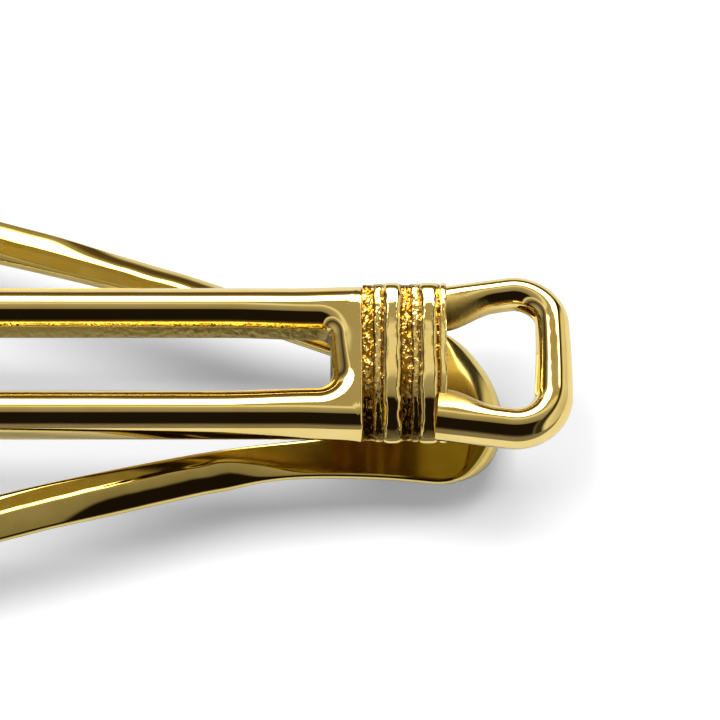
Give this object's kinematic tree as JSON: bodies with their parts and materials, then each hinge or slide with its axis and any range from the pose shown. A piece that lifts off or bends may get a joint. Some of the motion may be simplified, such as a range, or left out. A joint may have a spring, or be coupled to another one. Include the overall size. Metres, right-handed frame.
{
  "type": "tie clip",
  "caption": "Gold-tone tie clip: a double-rail bar with ribbed collars and stirrup end loops, over a sprung wishbone jaw that pinches open to grip a tie.",
  "frame": {"origin": "middle of the bar's length and width, at the level of the lowest edge of the jaw when the clip lies on its back", "axes": "+X along the bar to the tip where the tie slips in, +Y across the bar, +Z out of its front"},
  "size_m": [0.056, 0.0142, 0.0067],
  "materials": {
    "polished_gold": "gold plated, mirror polished",
    "cast_gold": "gold plated, polished on the ribs and grainy in the grooves",
    "stamped_gold": "gold plated sheet, polished",
    "spring_leaf": "gold plated spring strip, satin",
    "hinge_steel": "drawn wire"
  },
  "bodies": {
    "bar": {"front_frame": "polished_gold", "tip_collar": "cast_gold", "tail_collar": "cast_gold", "tip_loop": "polished_gold", "tail_loop": "polished_gold", "hinge_box": "polished_gold", "hinge_pin": "hinge_steel"},
    "jaw": {"clip_jaw": "stamped_gold", "leaf_spring": "spring_leaf", "spring_rivet": "stamped_gold"}
  },
  "joints": [
    {"name": "jaw_hinge", "type": "hinge", "parent": "bar", "child": "jaw", "pos_m": [-0.003, 0, 0.00549], "axis": [0, 1, 0], "range_deg": [0, 11], "stiffness_Nm_per_rad": 0.05, "springref_deg": -34.38, "deforming": ["leaf_spring"]}
  ]
}
